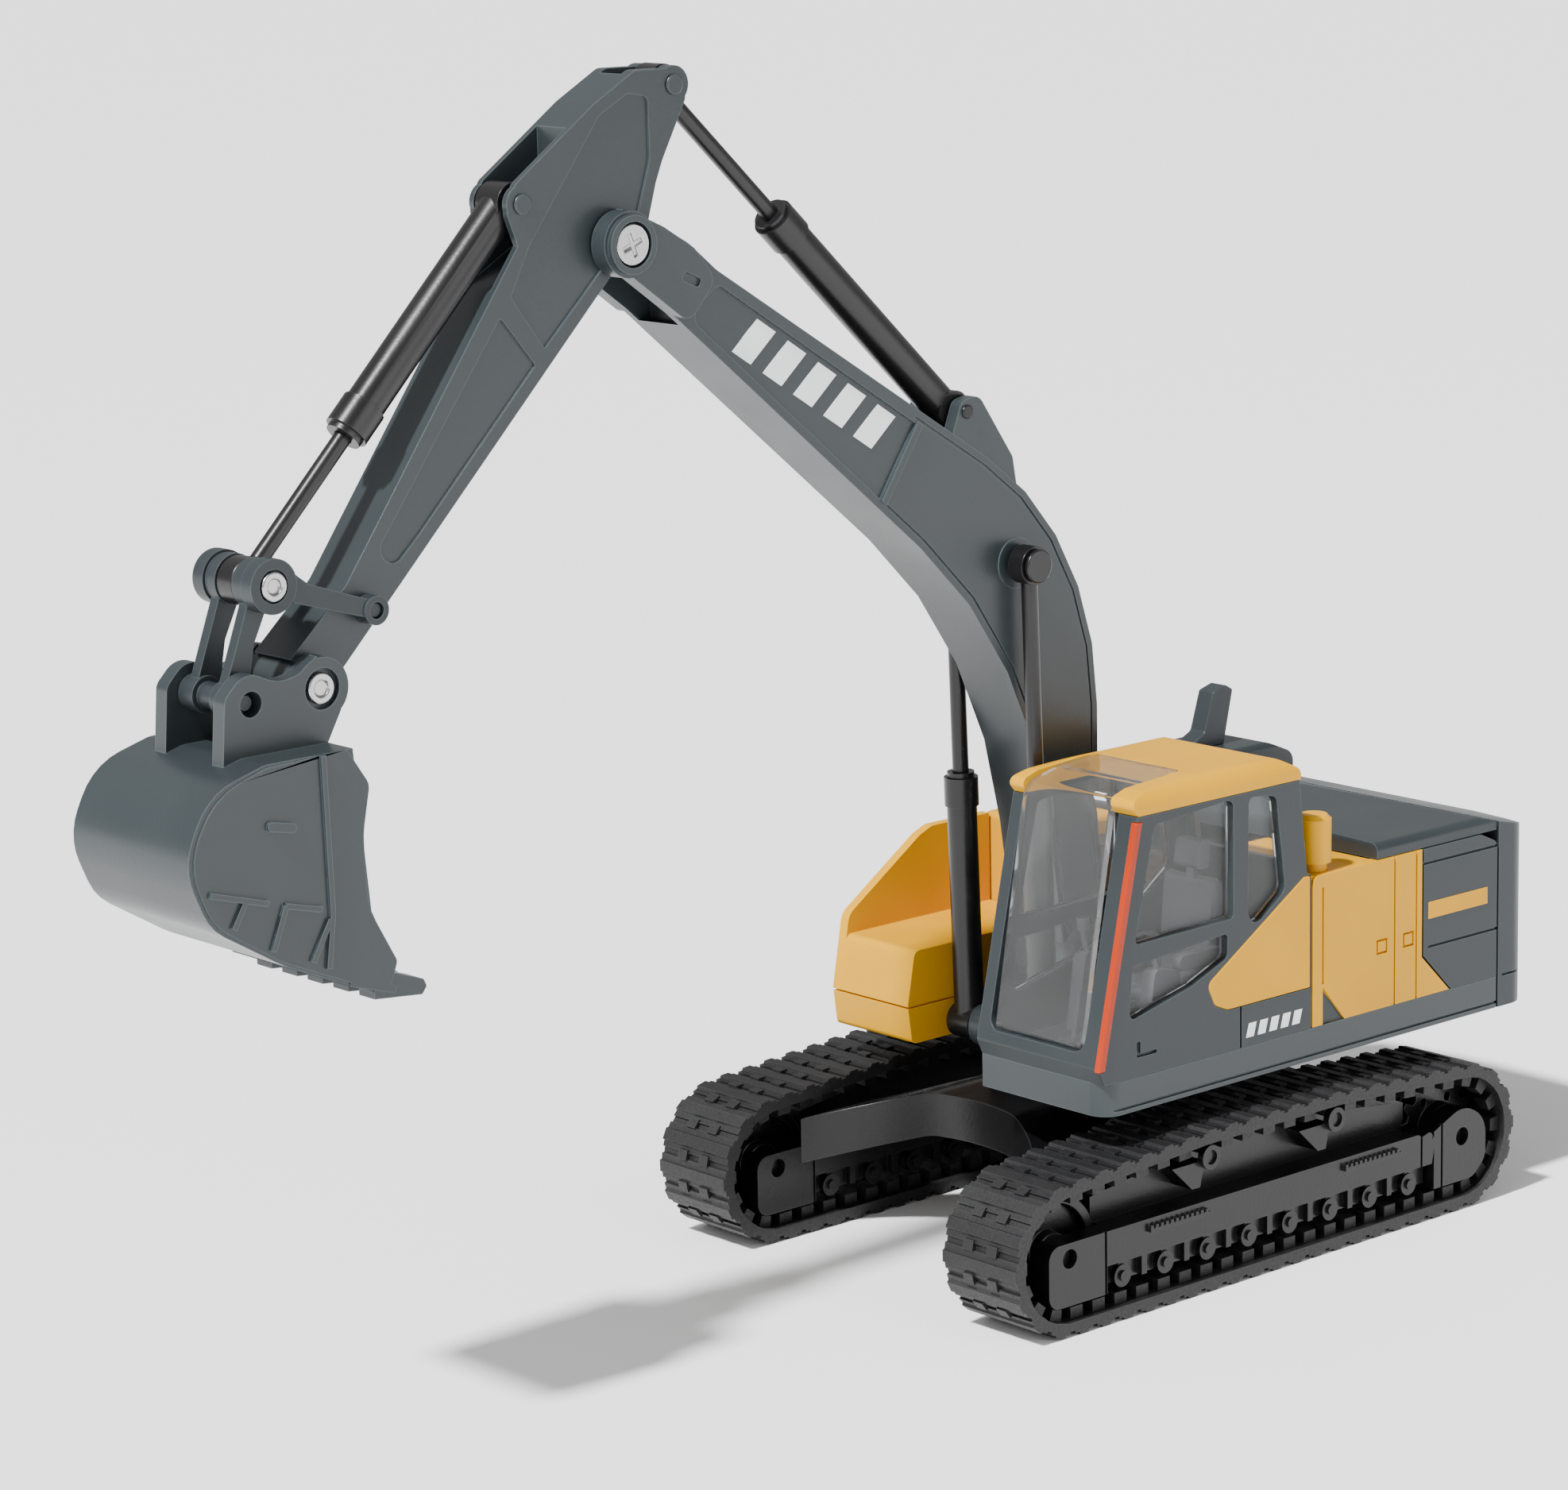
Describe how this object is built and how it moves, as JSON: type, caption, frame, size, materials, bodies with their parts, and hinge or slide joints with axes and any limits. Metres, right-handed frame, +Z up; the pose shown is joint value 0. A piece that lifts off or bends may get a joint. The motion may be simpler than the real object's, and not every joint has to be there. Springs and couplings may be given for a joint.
{
  "type": "toy excavator",
  "caption": "Toy crawler excavator: tracked undercarriage, slewing house with glazed cab, and a boom, arm and bucket moved by cylinders and links.",
  "frame": {"origin": "where the slewing axis meets the floor, level with the soles of the tracks", "axes": "+Z up; -Y the way the machine and its bucket face; +X the side the cab is on"},
  "size_m": [0.0598, 0.1849, 0.1392],
  "materials": {
    "slate_paint": "satin die-cast paint, dark grey-green",
    "slate_plastic": "satin dark grey-green plastic",
    "yellow_plastic": "satin warm yellow plastic",
    "black_plastic": "semi-gloss black plastic",
    "track_rubber": "matte charcoal rubber",
    "cylinder_plastic": "semi-gloss warm black plastic",
    "clear_plastic": "clear glazing",
    "orange_plastic": "gloss orange plastic",
    "cab_trim": "matte grey moulding",
    "bright_rivet": "bright metal"
  },
  "bodies": {
    "undercarriage": {"chassis": "black_plastic", "track_frame_left": "black_plastic", "track_frame_right": "black_plastic", "track_left": "track_rubber", "track_right": "track_rubber", "axle_pins": "black_plastic"},
    "idler_wheel_left": {"idler_left": "black_plastic"},
    "idler_wheel_right": {"idler_right": "black_plastic"},
    "sprocket_wheel_left": {"sprocket_left": "black_plastic"},
    "sprocket_wheel_right": {"sprocket_right": "black_plastic"},
    "house": {"deck": "slate_paint", "slew_screw": "bright_rivet", "house_core": "black_plastic", "left_side_panel": "yellow_plastic", "right_side_panel": "yellow_plastic", "left_rear_panel": "slate_plastic", "right_rear_panel": "slate_plastic", "engine_hood": "slate_plastic", "radiator_cover": "slate_plastic", "counterweight": "slate_plastic", "exhaust": "slate_plastic", "pre_cleaner": "yellow_plastic", "tool_box": "yellow_plastic", "fuel_tank": "yellow_plastic", "cab_frame": "slate_plastic", "cab_roof": "yellow_plastic", "cab_glazing": "clear_plastic", "cab_side_glass": "clear_plastic", "cab_rail": "orange_plastic", "cab_side_panel": "yellow_plastic", "seat": "cab_trim", "console": "cab_trim", "boom_foot_pin": "black_plastic", "boom_cylinder_foot_pin": "black_plastic"},
    "boom_group": {"boom": "slate_paint", "boom_cylinder_top_pin": "cylinder_plastic", "arm_cylinder_base_pin": "black_plastic", "arm_pivot_screw": "bright_rivet"},
    "boom_ram_left_barrel": {"boom_barrel_left": "cylinder_plastic"},
    "boom_ram_right_barrel": {"boom_barrel_right": "cylinder_plastic"},
    "boom_ram_left_rod": {"boom_rod_left": "cylinder_plastic"},
    "boom_ram_right_rod": {"boom_rod_right": "cylinder_plastic"},
    "arm_ram_barrel": {"arm_barrel": "cylinder_plastic"},
    "arm_ram_rod": {"arm_rod": "cylinder_plastic"},
    "arm_group": {"arm": "slate_paint", "arm_rod_pin": "slate_paint", "bucket_cylinder_pin": "slate_paint", "guide_link_pin": "slate_plastic"},
    "bucket_ram_barrel": {"bucket_barrel": "cylinder_plastic"},
    "bucket_ram_rod": {"bucket_rod": "cylinder_plastic"},
    "guide_link_pair": {"guide_links": "slate_plastic", "link_rivet": "bright_rivet"},
    "h_link_group": {"h_link": "slate_plastic"},
    "bucket_group": {"bucket": "slate_paint", "bucket_rivet": "bright_rivet"}
  },
  "joints": [
    {"name": "slew", "type": "hinge", "parent": "undercarriage", "child": "house", "pos_m": [0, 0, 0.0223], "axis": [0, 0, 1], "continuous": true},
    {"name": "sprocket_turn_left", "type": "hinge", "parent": "undercarriage", "child": "sprocket_wheel_left", "pos_m": [0.02405, 0.0326, 0.0088], "axis": [1, 0, 0], "continuous": true},
    {"name": "idler_turn_left", "type": "hinge", "parent": "undercarriage", "child": "idler_wheel_left", "pos_m": [0.02405, -0.0326, 0.0088], "axis": [1, 0, 0], "continuous": true},
    {"name": "sprocket_turn_right", "type": "hinge", "parent": "undercarriage", "child": "sprocket_wheel_right", "pos_m": [-0.02405, 0.0326, 0.0088], "axis": [1, 0, 0], "continuous": true},
    {"name": "idler_turn_right", "type": "hinge", "parent": "undercarriage", "child": "idler_wheel_right", "pos_m": [-0.02405, -0.0326, 0.0088], "axis": [1, 0, 0], "continuous": true},
    {"name": "boom_raise", "type": "hinge", "parent": "house", "child": "boom_group", "pos_m": [-0.0012, -0.003, 0.033], "axis": [1, 0, 0], "range_deg": [-8, 25]},
    {"name": "arm_swing", "type": "hinge", "parent": "boom_group", "child": "arm_group", "pos_m": [-0.0012, -0.0701, 0.1213], "axis": [1, 0, 0], "range_deg": [-12, 25]},
    {"name": "bucket_curl", "type": "hinge", "parent": "arm_group", "child": "bucket_group", "pos_m": [-0.0012, -0.1118, 0.0808], "axis": [1, 0, 0], "range_deg": [-15, 35]},
    {"name": "boom_ram_tilt_left", "type": "hinge", "parent": "house", "child": "boom_ram_left_barrel", "pos_m": [0.005, -0.0123, 0.0248], "axis": [1, 0, 0], "range_deg": [-7.53, 22.48]},
    {"name": "boom_ram_slide_left", "type": "slide", "parent": "boom_ram_left_barrel", "child": "boom_ram_left_rod", "axis": [0, -0.0305, 0.9995], "range_m": [-0.00474, 0.00165]},
    {"name": "boom_ram_tilt_right", "type": "hinge", "parent": "house", "child": "boom_ram_right_barrel", "pos_m": [-0.0074, -0.0123, 0.0248], "axis": [1, 0, 0], "range_deg": [-7.53, 22.48]},
    {"name": "boom_ram_slide_right", "type": "slide", "parent": "boom_ram_right_barrel", "child": "boom_ram_right_rod", "axis": [0, -0.0305, 0.9995], "range_m": [-0.00474, 0.00165]},
    {"name": "arm_ram_tilt", "type": "hinge", "parent": "boom_group", "child": "arm_ram_barrel", "pos_m": [-0.0012, -0.0212, 0.0984], "axis": [1, 0, 0], "range_deg": [-1.85, 3.32]},
    {"name": "arm_ram_slide", "type": "slide", "parent": "arm_ram_barrel", "child": "arm_ram_rod", "axis": [0, -0.7238, 0.69], "range_m": [-0.00364, 0.00737]},
    {"name": "bucket_ram_tilt", "type": "hinge", "parent": "arm_group", "child": "bucket_ram_barrel", "pos_m": [-0.0012, -0.0824, 0.1263], "axis": [1, 0, 0], "range_deg": [-1.67, 3.23]},
    {"name": "bucket_ram_slide", "type": "slide", "parent": "bucket_ram_barrel", "child": "bucket_ram_rod", "axis": [0, -0.7009, -0.7132], "range_m": [-0.00187, 0.00411]},
    {"name": "guide_link_turn", "type": "hinge", "parent": "arm_group", "child": "guide_link_pair", "pos_m": [-0.0012, -0.104, 0.0875], "axis": [1, 0, 0], "range_deg": [-9.08, 20.51]},
    {"name": "h_link_turn", "type": "hinge", "parent": "guide_link_pair", "child": "h_link_group", "pos_m": [-0.0012, -0.1165, 0.0916], "axis": [1, 0, 0], "range_deg": [-10.04, 4.59]}
  ],
  "couplings": [
    {"joint": "idler_turn_left", "follows": "sprocket_turn_left", "ratio": 1},
    {"joint": "boom_ram_tilt_left", "follows": "boom_raise", "ratio": 0.879},
    {"joint": "boom_ram_slide_left", "follows": "boom_raise", "m_per_rad": -0.010406},
    {"joint": "idler_turn_right", "follows": "sprocket_turn_right", "ratio": 1},
    {"joint": "boom_ram_tilt_right", "follows": "boom_raise", "ratio": 0.879},
    {"joint": "boom_ram_slide_right", "follows": "boom_raise", "m_per_rad": -0.010406},
    {"joint": "arm_ram_tilt", "follows": "arm_swing", "ratio": 0.1128},
    {"joint": "arm_ram_slide", "follows": "arm_swing", "m_per_rad": 0.016436},
    {"joint": "bucket_ram_tilt", "follows": "bucket_curl", "ratio": 0.0781},
    {"joint": "bucket_ram_slide", "follows": "bucket_curl", "m_per_rad": 0.0063961},
    {"joint": "guide_link_turn", "follows": "bucket_curl", "ratio": 0.5718},
    {"joint": "h_link_turn", "follows": "bucket_curl", "ratio": -0.2727}
  ]
}
